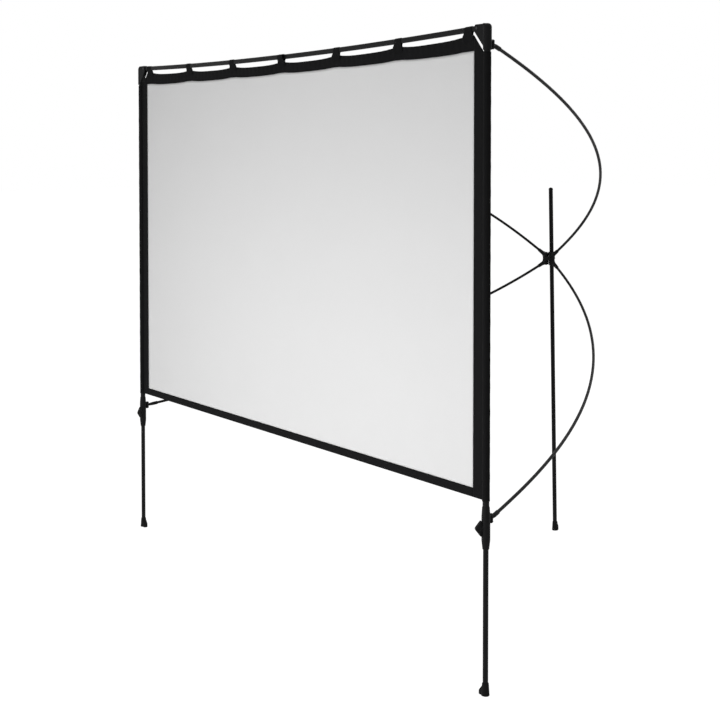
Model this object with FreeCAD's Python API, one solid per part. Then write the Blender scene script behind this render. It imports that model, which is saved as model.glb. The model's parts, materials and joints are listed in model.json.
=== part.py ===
"""Free-standing folding frame projection screen.

Two telescoping posts carry the cloth. Four bowed rods run from the posts back to a hub on a
rear pole, and a two-piece top bar holds the hanging tabs of the cloth.
+X runs along the screen, +Y to the back, +Z up. The origin is on the floor, in the middle of
the ground that the screen covers.
"""
import FreeCAD, Part
import math
import os

Vec = FreeCAD.Vector
X_AXIS = Vec(1, 0, 0)
Y_AXIS = Vec(0, 1, 0)
Z_AXIS = Vec(0, 0, 1)

# Viewing area and black border of the cloth, in millimetres
view_width = 2154.0
view_height = 1340.0
view_drop = 80.0
side_margin = 59.0
bottom_border = 29.0
cloth_thickness = 1.0
cloth_gap = 0.3
view_top_sag = 8.5
hem_drop = 16.5
scallop_depth = 5.0
sleeve_clearance = 0.4
sleeve_drop = 86.0

# Tabs that hang the cloth from the top bar
tab_end_inset = 29.0
tabs_per_side = 3
tab_width = 44.0
tab_clearance = 0.4

# Frame
frame_height = 2048.0
pole_depth = 1407.0
post_radius = 10.5
post_wall = 1.5
post_lip = 8.0
leg_radius = 8.5
leg_wall = 1.2
leg_insert = 160.0
bush_clearance = 0.1
bush_length = 30.0
fit_clearance = 0.05
running_clearance = 0.05
side_clearance = 0.3

# Two-piece top bar of flat oval tube
bar_height = 18.0
bar_depth = 8.0
bar_wall = 1.2
bar_gap = 0.4
bar_sag = 18.0
bar_end_length = 12.0
bar_plug_length = 30.0
plug_clearance = 0.12
rivet_radius = 2.5
rivet_head_radius = 4.5
rivet_head_height = 1.5

# Top corner brackets
bracket_radius = 13.5
bracket_roof = 2.4
bracket_cap = 5.0
bracket_reach = 54.0
bracket_height = 80.0
bracket_gusset = 71.0
bracket_corner = 10.0
bracket_nose = 4.0
cheek_thickness = 3.6
pivot_inset = 44.0

# Bowed rods and their hinges on the posts
rod_radius = 5.5
rod_steps = 6
rod_end_inset = 22.0
upper_rod_drop = 63.0
lower_rod_drop = 38.0
hinge_offset = 21.0
eye_radius = 6.5
eye_half_height = 8.4
ear_radius = 7.0
ear_thickness = 4.0
rod_end_length = 46.0
rod_end_neck_radius = 4.6
rod_end_radius = 7.2
hinge_pin_radius = 2.5
hinge_pin_head = 4.5
pin_head_height = 2.0

# Shape of the rods: how far each end runs along the chord and out of it, as shares of the
# chord, and how far the bow leans off the plane through the chord, in degrees
upper_hub_pull = (0.2073, 0.1712)
upper_eye_pull = (0.5071, 0.1961)
upper_bow_lean = 3.49
lower_hub_pull = (0.3155, 0.2531)
lower_eye_pull = (0.2053, 0.0759)
lower_bow_lean = 2.265

# Leg clamps at the lower ends of the posts
clamp_gap = 18.0
clamp_length = 130.0
clamp_radius = 13.6
clamp_neck_radius = 11.8
clamp_toe_radius = 10.4
clamp_taper = 28.0
clamp_boss_radius = 9.5
clamp_boss_reach = 14.0
knob_drop = 66.0
knob_swing = 26.0
knob_half_length = 24.0
knob_depth = 19.5
knob_base = 3.0
knob_tip_radius = 8.0
knob_half_width = 6.5
stud_radius = 3.0

# Feet
foot_height = 46.0
foot_wall = 1.9
foot_base_radius = 13.0
foot_toe_reach = 26.0
rear_toe_reach = 18.0
foot_toe_height = 9.0
foot_toe_rise = 34.0
foot_toe_radius = 9.5
foot_sole = 8.0

# Rear pole and hub
pole_radius = 9.0
pole_wall = 1.2
pole_top = 1507.0
pole_lean = 1.35
pole_cap_height = 9.0
pole_cap_radius = 10.2
pole_cap_plug = 14.0
hub_height = 1205.0
hub_pin_spacing = 30.0
hub_setback = 18.0
hub_sleeve_radius = 13.2
hub_sleeve_half_height = 27.0
hub_tongue_half_height = 8.0
hub_tongue_radius = 8.6
hub_pin_radius = 3.0
hub_pin_head = 5.0
knuckle_radius = 9.0
knuckle_top = 26.0
socket_offset = 12.0
socket_rise = 17.6
socket_length = 36.0
socket_root_radius = 9.0
socket_mouth_radius = 7.3
web_inner = 9.6
web_wall = 6.0
web_half_width = 6.0
pole_bush_wall = 1.6
pole_bush_length = 15.0
pole_bush_flange = 2.0
set_screw_radius = 2.5
set_screw_head = 4.5
set_screw_head_height = 4.0

# Places worked out from the sizes above
post_x = view_width / 2 + side_margin
knob_reach = clamp_boss_reach + side_clearance + knob_depth
knob_angle = math.radians(knob_swing)
front_reach = knob_reach * math.cos(knob_angle) + knob_half_width * math.sin(knob_angle)
foot_shift = hub_height * math.tan(math.radians(pole_lean))
rear_reach = foot_shift + rear_toe_reach
post_y = -(pole_depth + rear_reach - front_reach) / 2
pole_y = post_y + pole_depth
hub_y = pole_y - hub_setback
hinge_y = post_y + hinge_offset
hub_pin_x = hub_pin_spacing / 2
view_top = frame_height - view_drop
view_bottom = view_top - view_height
cloth_bottom = view_bottom - bottom_border
sleeve_top = frame_height - sleeve_drop
tab_spacing = (view_width / 2 - tab_end_inset) / tabs_per_side
clamp_top = cloth_bottom - clamp_gap
clamp_bottom = clamp_top - clamp_length
post_bottom = clamp_bottom + post_lip
knob_height = clamp_top - knob_drop
upper_rod_height = frame_height - upper_rod_drop
lower_rod_height = clamp_top - lower_rod_drop
pivot_x = post_x - pivot_inset
pivot_z = frame_height - bracket_roof - side_clearance - bar_height / 2
bar_offset = (bar_depth + bar_gap) / 2
bar_radius = (pivot_x ** 2 + bar_sag ** 2) / (2 * bar_sag)
bar_mid_z = pivot_z - bar_sag
bar_slope = math.degrees(math.asin(pivot_x / bar_radius))
bracket_bottom = frame_height - bracket_height


def bar_height_at(x):
    """Height of the top bar's centre line at a place along the screen."""
    return bar_mid_z + bar_radius - math.sqrt(bar_radius ** 2 - x ** 2)


def cylinder(radius, start, end):
    """Round bar between two points."""
    along = end - start
    return Part.makeCylinder(radius, along.Length, start, along)


def upright(radius, x, y, low, high):
    """Vertical round bar."""
    return cylinder(radius, Vec(x, y, low), Vec(x, y, high))


def cone(root_radius, mouth_radius, start, end):
    """Tapered round bar between two points."""
    along = end - start
    return Part.makeCone(root_radius, mouth_radius, along.Length, start, along)


def tube(outer, inner, x, y, low, high):
    """Vertical tube."""
    return upright(outer, x, y, low, high).cut(upright(inner, x, y, low - 1, high + 1))


def block(x_range, y_range, z_range):
    """Box between three pairs of limits."""
    size = [high - low for low, high in (x_range, y_range, z_range)]
    return Part.makeBox(*size, Vec(x_range[0], y_range[0], z_range[0]))


def face_of(edges):
    """Flat face inside a closed run of edges."""
    return Part.Face(Part.Wire(Part.__sortEdges__(edges)))


def line(start, end):
    """Straight edge."""
    return Part.LineSegment(start, end).toShape()


def arc(start, middle, end):
    """Round edge through three points."""
    return Part.Arc(start, middle, end).toShape()


def soft_curve(start, middle, end):
    """Curved edge with its middle at a given point, that stays on one side of its ends."""
    curve = Part.BezierCurve()
    curve.setPoles([start, middle * 2 - (start + end) * 0.5, end])
    return curve.toShape()


def polygon(points):
    """Flat face with straight sides."""
    return Part.Face(Part.makePolygon(points + points[:1]))


def oval(height, depth, y, z):
    """Flat oval face across the middle of the screen, with round top and bottom edges."""
    half = depth / 2
    straight = height / 2 - half
    top = z + straight
    low = z - straight
    edges = [
        line(Vec(0, y - half, low), Vec(0, y - half, top)),
        arc(Vec(0, y - half, top), Vec(0, y, top + half), Vec(0, y + half, top)),
        line(Vec(0, y + half, top), Vec(0, y + half, low)),
        arc(Vec(0, y + half, low), Vec(0, y, low - half), Vec(0, y - half, low)),
    ]
    return face_of(edges)


def tangent_point(outside, centre, radius, turn):
    """Point where a line from an outside point touches a circle in the same upright plane."""
    away = outside - centre
    swing = math.acos(radius / away.Length) * turn
    angle = math.atan2(away.z, away.y) + swing
    return centre + Vec(0, radius * math.cos(angle), radius * math.sin(angle))


def swung(shape):
    """A clamp piece turned about the left post, so that it faces the inner front."""
    shape.rotate(Vec(-post_x, post_y, 0), Z_AXIS, knob_swing)
    return shape


def leaned(shape):
    """A rear pole piece leaned at the hub, so that the foot of the pole stands farther back."""
    shape.rotate(Vec(0, pole_y, hub_height), X_AXIS, pole_lean)
    return shape


def tangent_arc(start, heading, end):
    """Round edge between two points that leaves the first one in a given direction."""
    chord = end - start
    side = (heading - chord * (heading.dot(chord) / chord.dot(chord))).normalize()
    bend = heading.getAngle(chord)
    middle = (start + end) * 0.5 + side * (chord.Length / 2 * math.tan(bend / 2))
    return arc(start, middle, end)


def arc_pair(start, start_heading, end, end_heading):
    """Two arcs that run into each other, between two points with given directions."""
    gap = end - start
    turn = 2 * (1 - start_heading.dot(end_heading))
    pull = 2 * gap.dot(start_heading + end_heading)
    reach = (math.sqrt(pull ** 2 + 4 * turn * gap.dot(gap)) - pull) / (2 * turn)
    middle = (start + start_heading * reach + end - end_heading * reach) * 0.5
    first = tangent_arc(start, start_heading, middle)
    return [first, tangent_arc(middle, first.tangentAt(first.LastParameter), end)]


class BowedRod:
    """Round rod bent to a smooth curve between a hub socket and a hinge eye, on the left side."""

    def __init__(self, eye_height, hub_rise, hub_pull, eye_pull, bow_lean):
        self.hub_end = Vec(-hub_pin_x - socket_offset, hub_y, hub_height + hub_rise)
        self.eye = Vec(-post_x, hinge_y, eye_height)
        chord = self.eye - self.hub_end
        along = Vec(chord).normalize()
        bulge = (Y_AXIS - along * along.dot(Y_AXIS)).normalize()
        bulge = FreeCAD.Rotation(along, bow_lean).multVec(bulge)
        span = chord.Length
        curve = Part.BezierCurve()
        curve.setPoles([
            self.hub_end,
            self.hub_end + along * (span * hub_pull[0]) + bulge * (span * hub_pull[1]),
            self.eye - along * (span * eye_pull[0]) + bulge * (span * eye_pull[1]),
            self.eye,
        ])
        bow = curve.toShape()
        self.hub_heading = bow.tangentAt(bow.FirstParameter)
        self.eye_heading = bow.tangentAt(bow.LastParameter)
        step_length = (bow.Length - rod_end_inset) / rod_steps
        places = [bow.getParameterByLength(step * step_length) for step in range(rod_steps + 1)]
        points = [bow.valueAt(place) for place in places]
        headings = [bow.tangentAt(place) for place in places]
        self.arcs = []
        for step in range(rod_steps):
            after = step + 1
            self.arcs += arc_pair(points[step], headings[step], points[after], headings[after])

    def solid(self, radius, arcs):
        """Round bar along some of the rod's arcs."""
        start = arcs[0].valueAt(arcs[0].FirstParameter)
        heading = arcs[0].tangentAt(arcs[0].FirstParameter)
        section = Part.Face(Part.Wire(Part.makeCircle(radius, start, heading)))
        return Part.Wire(arcs).makePipe(section)

    def rod(self):
        """The rod itself, from its seat in the hub socket to its seat in the rod end."""
        return self.solid(rod_radius, self.arcs)

    def hub_bore(self):
        """Space that the rod needs in the hub wing."""
        return self.solid(rod_radius + fit_clearance, self.arcs[:2])

    def eye_bore(self):
        """Space that the rod needs in its rod end."""
        return self.solid(rod_radius + fit_clearance, self.arcs[-2:])

    def rod_end(self):
        """Ferrule with a slim neck and an eye that turns on the upright pin behind the post."""
        away = self.eye_heading * -1
        eye_low = self.eye.z - eye_half_height
        eye_high = self.eye.z + eye_half_height
        eye = upright(eye_radius, self.eye.x, self.eye.y, eye_low, eye_high)
        shoulder = self.eye + away * rod_end_inset
        neck = cone(rod_end_neck_radius, rod_end_radius, self.eye, shoulder)
        shank = cylinder(rod_end_radius, shoulder, self.eye + away * rod_end_length)
        hole_radius = hinge_pin_radius + running_clearance
        hole = upright(hole_radius, self.eye.x, self.eye.y, eye_low - 1, eye_high + 1)
        return eye.fuse([neck, shank]).cut(hole).cut(self.eye_bore()).removeSplitter()

    def socket_mouth(self):
        """Middle of the socket's mouth."""
        return self.hub_end + self.hub_heading * socket_length

    def socket(self):
        """Tapered socket of the hub wing."""
        root = self.hub_end - self.hub_heading * socket_root_radius
        return cone(socket_root_radius, socket_mouth_radius, root, self.socket_mouth())


def hinge_ears(height, reach_from):
    """Two flat ears with a pin hole, behind the left post at a rod's height."""
    ears = []
    inner = eye_half_height + side_clearance
    for low in (height - inner - ear_thickness, height + inner):
        high = low + ear_thickness
        plate = block((-post_x - ear_radius, -post_x + ear_radius), (reach_from, hinge_y), (low, high))
        ears.append(plate.fuse(upright(ear_radius, -post_x, hinge_y, low, high)))
    return ears[0].fuse(ears[1])


def hinge_cuts(height):
    """Pin hole and swing room of the rod end between the ears."""
    inner = eye_half_height + side_clearance
    reach = inner + ear_thickness + 1
    hole_radius = hinge_pin_radius + fit_clearance
    hole = upright(hole_radius, -post_x, hinge_y, height - reach, height + reach)
    room = upright(eye_radius + side_clearance, -post_x, hinge_y, height - inner, height + inner)
    return hole.fuse(room)


def hinge_pin(height):
    """Upright pin with two flat heads that holds a rod end in its ears."""
    half = eye_half_height + side_clearance + ear_thickness
    shank = upright(hinge_pin_radius, -post_x, hinge_y, height - half, height + half)
    top = upright(hinge_pin_head, -post_x, hinge_y, height + half, height + half + pin_head_height)
    low = upright(hinge_pin_head, -post_x, hinge_y, height - half - pin_head_height, height - half)
    return shank.fuse([top, low]).removeSplitter()


def post():
    """Upright tube of the left side."""
    top = frame_height - bracket_cap
    body = tube(post_radius, post_radius - post_wall, -post_x, post_y, post_bottom, top)
    stud_hole = stud_radius + side_clearance
    return body.cut(swung(cylinder(stud_hole, Vec(-post_x, post_y, knob_height), stud_front())))


def stud_front():
    """Front end of the clamp stud, inside the knob."""
    return Vec(-post_x, post_y - clamp_boss_reach - knob_depth / 2, knob_height)


def top_bracket(bar_y):
    """Moulded top corner: post sleeve, forked cheeks for the bar, gusset and rear hinge ears."""
    cheek_half = bar_depth / 2 + side_clearance + cheek_thickness
    low = bracket_bottom
    high = frame_height
    sleeve = upright(bracket_radius, -post_x, post_y, low, high)
    cheeks = block(
        (-post_x, -post_x + bracket_reach), (bar_y - cheek_half, bar_y + cheek_half), (low, high)
    )
    outline = bracket_outline(low, high)
    body = sleeve.fuse(cheeks).common(outline)
    body = body.fuse(hinge_ears(upper_rod_height, post_y))
    bore_top = high - bracket_cap
    body = body.cut(upright(post_radius + fit_clearance, -post_x, post_y, low - 1, bore_top))
    slot_half = bar_depth / 2 + side_clearance
    slot = block(
        (pivot_slot_start(), -post_x + bracket_reach + 1),
        (bar_y - slot_half, bar_y + slot_half),
        (low - 1, high - bracket_roof),
    )
    rivet_hole = rivet_line(bar_y, rivet_radius + fit_clearance, cheek_half + 1)
    return body.cut(slot).cut(rivet_hole).cut(hinge_cuts(upper_rod_height)).removeSplitter()


def pivot_slot_start():
    """Inner end of the slot that the bar's end turns in."""
    return -pivot_x - bar_height / 2 - 3 * side_clearance


def bracket_outline(low, high):
    """Side view of the bracket: rounded outer corner, small nose and sloping gusset."""
    left = -post_x - bracket_radius
    right = -post_x + bracket_reach
    lean = math.sqrt(0.5)
    y = post_y - 2 * bracket_radius
    corner = bracket_corner * (1 - lean)
    nose = bracket_nose * (1 - lean)
    under_bar = pivot_z - bar_height / 2 - cheek_thickness
    edges = [
        line(Vec(left, y, low), Vec(left, y, high - bracket_corner)),
        arc(
            Vec(left, y, high - bracket_corner),
            Vec(left + corner, y, high - corner),
            Vec(left + bracket_corner, y, high),
        ),
        line(Vec(left + bracket_corner, y, high), Vec(right - bracket_nose, y, high)),
        arc(
            Vec(right - bracket_nose, y, high),
            Vec(right - nose, y, high - nose),
            Vec(right, y, high - bracket_nose),
        ),
        line(Vec(right, y, high - bracket_nose), Vec(right, y, under_bar)),
        line(Vec(right, y, under_bar), Vec(-post_x + bracket_radius, y, high - bracket_gusset)),
        line(Vec(-post_x + bracket_radius, y, high - bracket_gusset), Vec(-post_x + bracket_radius, y, low)),
        line(Vec(-post_x + bracket_radius, y, low), Vec(left, y, low)),
    ]
    return face_of(edges).extrude(Y_AXIS * (4 * bracket_radius))


def rivet_line(bar_y, radius, half):
    """Round bar through the pivot of the left half of the top bar."""
    return cylinder(radius, Vec(-pivot_x, bar_y - half, pivot_z), Vec(-pivot_x, bar_y + half, pivot_z))


def bar_rivet(bar_y):
    """Rivet that the half bar turns on, with a head on each cheek."""
    half = bar_depth / 2 + side_clearance + cheek_thickness
    heads = rivet_line(bar_y, rivet_head_radius, half + rivet_head_height)
    gap = rivet_line(bar_y, rivet_head_radius + 1, half)
    return rivet_line(bar_y, rivet_radius, half).fuse(heads.cut(gap)).removeSplitter()


def half_bar(bar_y):
    """Left half of the sagging top bar, a flat oval tube bent to a long arc."""
    outer = oval(bar_height, bar_depth, bar_y, bar_mid_z)
    inner = oval(bar_height - 2 * bar_wall, bar_depth - 2 * bar_wall, bar_y, bar_mid_z)
    centre = Vec(0, bar_y, bar_mid_z + bar_radius)
    start = math.degrees(bar_end_length / bar_radius)
    sweep = bar_slope - 2 * start
    solids = []
    for section in (outer, inner):
        section.rotate(centre, Y_AXIS, start)
        solids.append(section.revolve(centre, Y_AXIS, sweep))
    return solids[0].cut(solids[1])


def bar_end(bar_y, hole_radius):
    """Moulded bar end along +X from its pivot at x 0: flat eye, shoulder and plug for the tube."""
    half = bar_height / 2
    front = Vec(0, bar_y - bar_depth / 2, bar_mid_z)
    back = Vec(0, bar_y + bar_depth / 2, bar_mid_z)
    section = oval(bar_height, bar_depth, bar_y, bar_mid_z)
    rounding = section.extrude(X_AXIS * bar_height)
    rounding.translate(Vec(-half, 0, 0))
    eye = cylinder(half, front, back).common(rounding)
    shoulder = section.extrude(X_AXIS * (bar_end_length - fit_clearance))
    plug_height = bar_height - 2 * bar_wall - 2 * plug_clearance
    plug_depth = bar_depth - 2 * bar_wall - 2 * plug_clearance
    plug = oval(plug_height, plug_depth, bar_y, bar_mid_z)
    plug = plug.extrude(X_AXIS * (bar_end_length + bar_plug_length))
    hole = cylinder(hole_radius, front - Y_AXIS, back + Y_AXIS)
    return eye.fuse([shoulder, plug]).cut(hole).removeSplitter()


def bar_outer_end(bar_y):
    """Bar end in the bracket's fork."""
    shape = bar_end(bar_y, rivet_radius + running_clearance)
    shape.rotate(Vec(0, 0, bar_mid_z), Y_AXIS, bar_slope)
    shape.translate(Vec(-pivot_x, 0, pivot_z - bar_mid_z))
    return shape


def centre_head(bar_y, growth):
    """Countersunk head of the centre rivet, in the face away from the other bar."""
    way = math.copysign(1, bar_y - post_y)
    face = Vec(0, bar_y + way * bar_depth / 2, bar_mid_z)
    inside = face - Y_AXIS * (way * rivet_head_height)
    return cone(rivet_head_radius + growth, rivet_radius + growth, face, inside)


def bar_inner_end(bar_y):
    """Bar end at the centre lap of the top bar."""
    shape = mirrored(bar_end(bar_y, rivet_radius + fit_clearance))
    return shape.cut(centre_head(bar_y, fit_clearance)).removeSplitter()


def centre_rivet(bar_y):
    """Rivet of the centre lap, flush with both faces of the bar end that holds it."""
    front = Vec(0, bar_y - bar_depth / 2, bar_mid_z)
    back = Vec(0, bar_y + bar_depth / 2, bar_mid_z)
    return cylinder(rivet_radius, front, back).fuse(centre_head(bar_y, 0)).removeSplitter()


def leg_clamp():
    """Moulded clamp at the foot of the post: spindle body, front boss and rear hinge ears."""
    outline = [
        Vec(-post_x, post_y, clamp_bottom),
        Vec(-post_x + clamp_toe_radius, post_y, clamp_bottom),
        Vec(-post_x + clamp_radius, post_y, clamp_bottom + clamp_taper),
        Vec(-post_x + clamp_radius, post_y, clamp_top - clamp_taper),
        Vec(-post_x + clamp_neck_radius, post_y, clamp_top),
        Vec(-post_x, post_y, clamp_top),
    ]
    body = polygon(outline).revolve(Vec(-post_x, post_y, 0), Z_AXIS, 360)
    boss_centre = Vec(-post_x, post_y, knob_height)
    boss_front = Vec(-post_x, post_y - clamp_boss_reach, knob_height)
    body = body.fuse(swung(cylinder(clamp_boss_radius, boss_centre, boss_front)))
    body = body.fuse(hinge_ears(lower_rod_height, post_y))
    post_hole = upright(post_radius + fit_clearance, -post_x, post_y, post_bottom, clamp_top + 1)
    leg_hole = upright(leg_radius + side_clearance, -post_x, post_y, clamp_bottom - 1, post_bottom)
    stud_hole = swung(cylinder(stud_radius + side_clearance, boss_centre, stud_front()))
    cuts = [post_hole, leg_hole, stud_hole, hinge_cuts(lower_rod_height)]
    return body.cut(cuts).removeSplitter()


def clamp_knob():
    """Bar knob that tapers to a round nose, on the front of the clamp."""
    base = post_y - clamp_boss_reach - side_clearance
    shoulder = base - knob_base
    tip = base - knob_depth
    low = knob_height - knob_half_length
    high = knob_height + knob_half_length
    x = -post_x - knob_half_width
    centre = Vec(x, tip + knob_tip_radius, knob_height)
    lower_shoulder = Vec(x, shoulder, low)
    upper_shoulder = Vec(x, shoulder, high)
    lower_touch = tangent_point(lower_shoulder, centre, knob_tip_radius, -1)
    upper_touch = tangent_point(upper_shoulder, centre, knob_tip_radius, 1)
    edges = [
        line(Vec(x, base, low), lower_shoulder),
        line(lower_shoulder, lower_touch),
        arc(lower_touch, Vec(x, tip, knob_height), upper_touch),
        line(upper_touch, upper_shoulder),
        line(upper_shoulder, Vec(x, base, high)),
        line(Vec(x, base, high), Vec(x, base, low)),
    ]
    wing = face_of(edges).extrude(X_AXIS * (2 * knob_half_width))
    start = Vec(-post_x, base, knob_height)
    end = Vec(-post_x, tip, knob_height)
    wing = wing.common(cylinder(knob_half_length, start, end))
    hub_end = Vec(-post_x, base - 2 * knob_base, knob_height)
    hub = cylinder(clamp_boss_radius, start, hub_end)
    stud_hole = cylinder(stud_radius + fit_clearance, start, stud_front())
    return swung(wing.fuse(hub).cut(stud_hole).removeSplitter())


def clamp_stud():
    """Stud that the knob drives against the leg."""
    tip = Vec(-post_x, post_y - leg_radius - side_clearance, knob_height)
    return swung(cylinder(stud_radius, tip, stud_front()))


def leg():
    """Thin lower tube that slides in the left post."""
    inner = leg_radius - leg_wall
    return tube(leg_radius, inner, -post_x, post_y, foot_sole, post_bottom + leg_insert)


def leg_bush():
    """Plastic plug on the top of the leg that guides it in the post."""
    top = post_bottom + leg_insert
    guide = post_radius - post_wall - bush_clearance
    rim = upright(guide, -post_x, post_y, top, top + bush_length / 3)
    plug = upright(leg_radius - leg_wall - fit_clearance, -post_x, post_y, top - bush_length, top)
    return rim.fuse(plug).removeSplitter()


def foot(x, y, toe_angle, toe_reach, bore_radius, bore):
    """Flared rubber boot with a rounded toe, round the bore of its tube."""
    top_radius = bore_radius + foot_wall
    boot = Part.makeCone(foot_base_radius, top_radius, foot_height, Vec(x, y, 0))
    toe_x = x + toe_reach - foot_toe_radius
    front = y - foot_toe_radius
    tread = block((x, toe_x), (front, y + foot_toe_radius), (0, foot_toe_rise))
    tread = tread.fuse(upright(foot_toe_radius, toe_x, y, 0, foot_toe_rise))
    side_points = [
        Vec(x, front, 0),
        Vec(x + toe_reach, front, 0),
        Vec(x + toe_reach, front, foot_toe_height),
        Vec(x + bore_radius, front, foot_toe_rise),
        Vec(x, front, foot_toe_rise),
    ]
    wedge = polygon(side_points).extrude(Y_AXIS * (2 * foot_toe_radius))
    body = boot.fuse(tread.common(wedge))
    body.rotate(Vec(x, y, 0), Z_AXIS, toe_angle)
    return body.cut(bore).removeSplitter()


def leg_foot():
    """Foot of the left leg, with its toe turned inwards."""
    bore_radius = leg_radius + fit_clearance
    bore = upright(bore_radius, -post_x, post_y, foot_sole, 2 * foot_height)
    return foot(-post_x, post_y, 0, foot_toe_reach, bore_radius, bore)


def pole_foot():
    """Foot of the rear pole, with its toe turned back."""
    bore_radius = pole_radius + fit_clearance
    bore = leaned(upright(bore_radius, 0, pole_y, foot_sole, 2 * foot_height))
    return foot(0, pole_y + foot_shift, 90, rear_toe_reach, bore_radius, bore)


def rear_pole():
    """Pole that slides through the hub and stands on the rear foot."""
    return leaned(tube(pole_radius, pole_radius - pole_wall, 0, pole_y, foot_sole, pole_top))


def pole_cap():
    """Domed plug on the top of the rear pole."""
    plug_radius = pole_radius - pole_wall - fit_clearance
    plug = upright(plug_radius, 0, pole_y, pole_top - pole_cap_plug, pole_top)
    radius = (pole_cap_radius ** 2 + pole_cap_height ** 2) / (2 * pole_cap_height)
    ball = Part.makeSphere(radius, Vec(0, pole_y, pole_top + pole_cap_height - radius))
    dome = ball.common(upright(pole_cap_radius + 1, 0, pole_y, pole_top, pole_top + pole_cap_height))
    return leaned(dome.fuse(plug).removeSplitter())


def hub_body():
    """Hub moulding: sleeve for the pole and a flat tongue that carries the two wing pins."""
    low = hub_height - hub_sleeve_half_height
    high = hub_height + hub_sleeve_half_height
    sleeve = leaned(upright(hub_sleeve_radius, 0, pole_y, low, high))
    tongue_low = hub_height - hub_tongue_half_height
    tongue_high = hub_height + hub_tongue_half_height
    left_round = upright(hub_tongue_radius, -hub_pin_x, hub_y, tongue_low, tongue_high)
    right_round = upright(hub_tongue_radius, hub_pin_x, hub_y, tongue_low, tongue_high)
    plan = [
        Vec(-hub_pin_x, hub_y - hub_tongue_radius, tongue_low),
        Vec(hub_pin_x, hub_y - hub_tongue_radius, tongue_low),
        Vec(hub_pin_x, hub_y + hub_tongue_radius, tongue_low),
        Vec(hub_sleeve_radius, pole_y, tongue_low),
        Vec(-hub_sleeve_radius, pole_y, tongue_low),
        Vec(-hub_pin_x, hub_y + hub_tongue_radius, tongue_low),
    ]
    tongue = polygon(plan).extrude(Z_AXIS * (2 * hub_tongue_half_height))
    body = sleeve.fuse([left_round, right_round, tongue])
    bush_hole = leaned(upright(pole_radius + pole_bush_wall, 0, pole_y, low - 1, high + 1))
    pin_holes = []
    for x in (-hub_pin_x, hub_pin_x):
        hole_radius = hub_pin_radius + fit_clearance
        pin_holes.append(upright(hole_radius, x, hub_y, tongue_low - 1, tongue_high + 1))
    screw_end = Vec(0, pole_y + 2 * hub_sleeve_radius, hub_height)
    screw_hole = leaned(cylinder(set_screw_radius + fit_clearance, Vec(0, pole_y, hub_height), screw_end))
    return body.cut([bush_hole, screw_hole] + pin_holes).removeSplitter()


def pole_bushes():
    """Two flanged plastic bushes that guide the pole in the hub."""
    inner = pole_radius + running_clearance
    outer = pole_radius + pole_bush_wall - fit_clearance
    bushes = []
    for way in (-1, 1):
        edge = hub_height + way * hub_sleeve_half_height
        body = cylinder(outer, Vec(0, pole_y, edge), Vec(0, pole_y, edge - way * pole_bush_length))
        flange = cylinder(
            hub_sleeve_radius, Vec(0, pole_y, edge), Vec(0, pole_y, edge + way * pole_bush_flange)
        )
        hole = upright(inner, 0, pole_y, edge - 2 * pole_bush_length, edge + 2 * pole_bush_length)
        bushes.append(body.fuse(flange).cut(hole).removeSplitter())
    return leaned(Part.makeCompound(bushes))


def hub_screw():
    """Screw at the back of the hub that sets the grip on the pole."""
    tip = Vec(0, pole_y + pole_radius + side_clearance, hub_height)
    seat = Vec(0, pole_y + hub_sleeve_radius, hub_height)
    shank = cylinder(set_screw_radius, tip, seat)
    head = cylinder(set_screw_head, seat, seat + Y_AXIS * set_screw_head_height)
    return leaned(shank.fuse(head).removeSplitter())


def hub_web(rods):
    """Star-shaped web of the left hub wing, hollowed between its two sockets."""
    upper, lower = [rod.socket_mouth() for rod in rods]
    y = hub_y - web_half_width
    top = Vec(-hub_pin_x, y, hub_height + knuckle_top)
    low = Vec(-hub_pin_x, y, hub_height - knuckle_top)
    waist = Vec(-hub_pin_x - web_inner - web_wall, y, hub_height)
    upper_tip = Vec(upper.x, y, upper.z)
    lower_tip = Vec(lower.x, y, lower.z)
    edges = [
        line(low, top),
        line(top, upper_tip),
        soft_curve(upper_tip, waist, lower_tip),
        line(lower_tip, low),
    ]
    return face_of(edges).extrude(Y_AXIS * (2 * web_half_width))


def hub_wing(rods):
    """Left wing of the hub: knuckles above and below the tongue, a web and two rod sockets."""
    inner = hub_tongue_half_height + side_clearance
    knuckles = []
    for low, high in ((inner, knuckle_top), (-knuckle_top, -inner)):
        knuckles.append(upright(knuckle_radius, -hub_pin_x, hub_y, hub_height + low, hub_height + high))
    body = hub_web(rods).fuse(knuckles + [rod.socket() for rod in rods])
    gap = upright(web_inner, -hub_pin_x, hub_y, hub_height - inner, hub_height + inner)
    pin_radius = hub_pin_radius + running_clearance
    reach = 2 * knuckle_top
    hole = upright(pin_radius, -hub_pin_x, hub_y, hub_height - reach, hub_height + reach)
    head_radius = hub_pin_head + side_clearance
    head_rooms = []
    for low, high in ((knuckle_top, reach), (-reach, -knuckle_top)):
        head_rooms.append(upright(head_radius, -hub_pin_x, hub_y, hub_height + low, hub_height + high))
    return body.cut([gap, hole] + head_rooms + [rod.hub_bore() for rod in rods]).removeSplitter()


def hub_pin():
    """Upright pin of the left hub wing, with two flat heads."""
    top = knuckle_top + side_clearance
    shank = upright(hub_pin_radius, -hub_pin_x, hub_y, hub_height - top, hub_height + top)
    heads = []
    for low, high in ((top, top + pin_head_height), (-top - pin_head_height, -top)):
        heads.append(upright(hub_pin_head, -hub_pin_x, hub_y, hub_height + low, hub_height + high))
    return shank.fuse(heads).removeSplitter()


def hem_height(x):
    """Top of the hem under a tab at a place along the screen."""
    return bar_height_at(x) - bar_height / 2 - hem_drop


def cloth_panel(edges):
    """Flat cloth inside an outline drawn on the front face of the cloth."""
    return face_of(edges).extrude(Y_AXIS * cloth_thickness)


def cloth_point(x, z):
    """Point on the front face of the cloth."""
    return Vec(x, post_y - cloth_thickness / 2, z)


def view_top_arc():
    """Sagging edge between the viewing area and the top border."""
    half = view_width / 2
    return arc(
        cloth_point(-half, view_top), cloth_point(0, view_top - view_top_sag), cloth_point(half, view_top)
    )


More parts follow.
